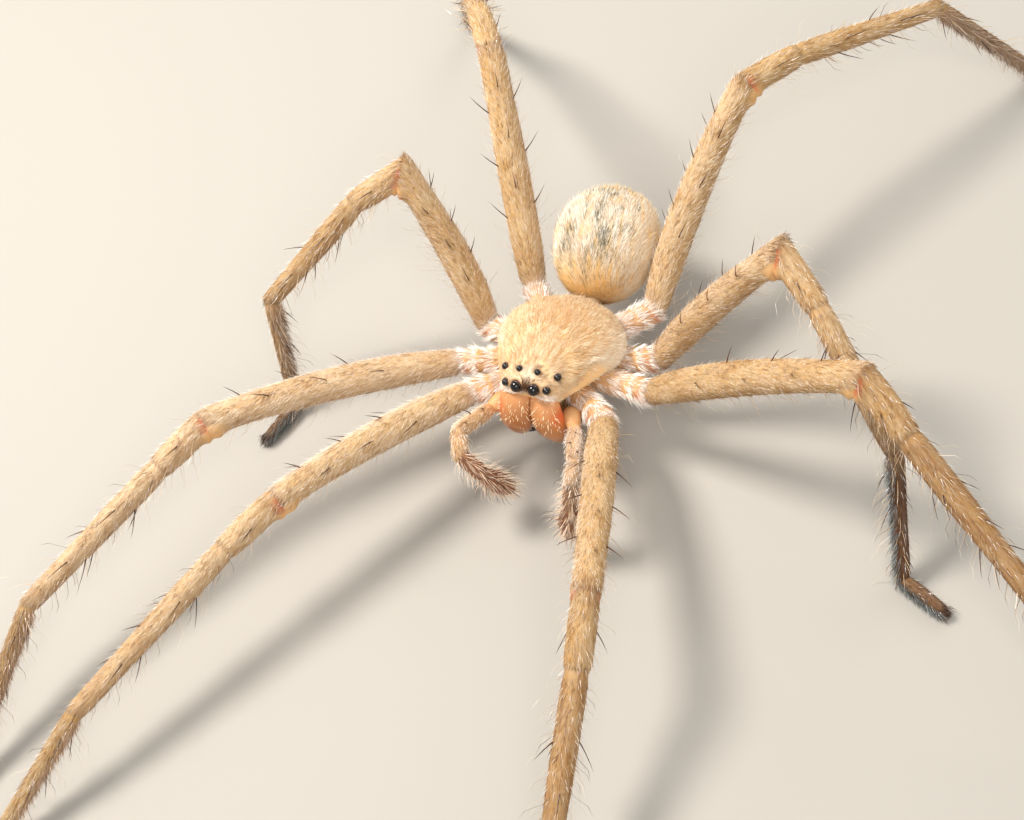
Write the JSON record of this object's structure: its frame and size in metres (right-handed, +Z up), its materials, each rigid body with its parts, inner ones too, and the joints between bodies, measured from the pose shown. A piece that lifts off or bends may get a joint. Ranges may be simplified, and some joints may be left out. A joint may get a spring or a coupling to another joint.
{
  "type": "huntsman spider",
  "caption": "Life-size pale huntsman spider standing with its long spiny legs spread, as a still museum model.",
  "frame": {"origin": "centre of the bounding box, on the floor that the feet stand on", "axes": "+Z up; the spider faces -Y and its left side is +X"},
  "size_m": [0.0674, 0.0768, 0.0163],
  "materials": {
    "carapace": "golden cream cuticle under a close coat of pale flat hair, satin",
    "sternum": "straw-brown cuticle with fine pale hair, satin",
    "abdomen": "soft cream skin with a dense coat of white and cream hair and grey-green streaks",
    "spinnerets": "brown cuticle with short hair",
    "chelicera": "smooth orange-brown cuticle, shiny, with sparse pale bristles",
    "fang": "polished dark red-brown to black cuticle",
    "eye": "polished black lens",
    "palp": "sandy cuticle with pale and brown bristles",
    "coxa": "pale cuticle with white hair and red-brown joint marks",
    "femur": "straw-coloured cuticle with close streaky flat hair and dark brown spines",
    "patella": "straw-coloured cuticle with close flat hair",
    "tibia": "straw-coloured cuticle with close streaky hair and dark brown spines",
    "foot": "brown-grey hairy cuticle with dense pads of grey hair below"
  },
  "bodies": {
    "root": {"carapace": "carapace", "sternum": "sternum", "abdomen": "abdomen", "spinnerets": "spinnerets", "chelicera_L": "chelicera", "fang_L": "fang", "palp_L": "palp", "palp_tarsus_L": "palp", "eye_front_middle_L": "eye", "eye_front_side_L": "eye", "eye_rear_middle_L": "eye", "eye_rear_side_L": "eye", "chelicera_R": "chelicera", "fang_R": "fang", "palp_R": "palp", "palp_tarsus_R": "palp", "eye_front_middle_R": "eye", "eye_front_side_R": "eye", "eye_rear_middle_R": "eye", "eye_rear_side_R": "eye", "coxa_L1": "coxa", "femur_L1": "femur", "patella_L1": "patella", "tibia_L1": "tibia", "foot_L1": "foot", "coxa_L2": "coxa", "femur_L2": "femur", "patella_L2": "patella", "tibia_L2": "tibia", "foot_L2": "foot", "coxa_L3": "coxa", "femur_L3": "femur", "patella_L3": "patella", "tibia_L3": "tibia", "foot_L3": "foot", "coxa_L4": "coxa", "femur_L4": "femur", "patella_L4": "patella", "tibia_L4": "tibia", "foot_L4": "foot", "coxa_R1": "coxa", "femur_R1": "femur", "patella_R1": "patella", "tibia_R1": "tibia", "foot_R1": "foot", "coxa_R2": "coxa", "femur_R2": "femur", "patella_R2": "patella", "tibia_R2": "tibia", "foot_R2": "foot", "coxa_R3": "coxa", "femur_R3": "femur", "patella_R3": "patella", "tibia_R3": "tibia", "foot_R3": "foot", "coxa_R4": "coxa", "femur_R4": "femur", "patella_R4": "patella", "tibia_R4": "tibia", "foot_R4": "foot"}
  },
  "joints": []
}
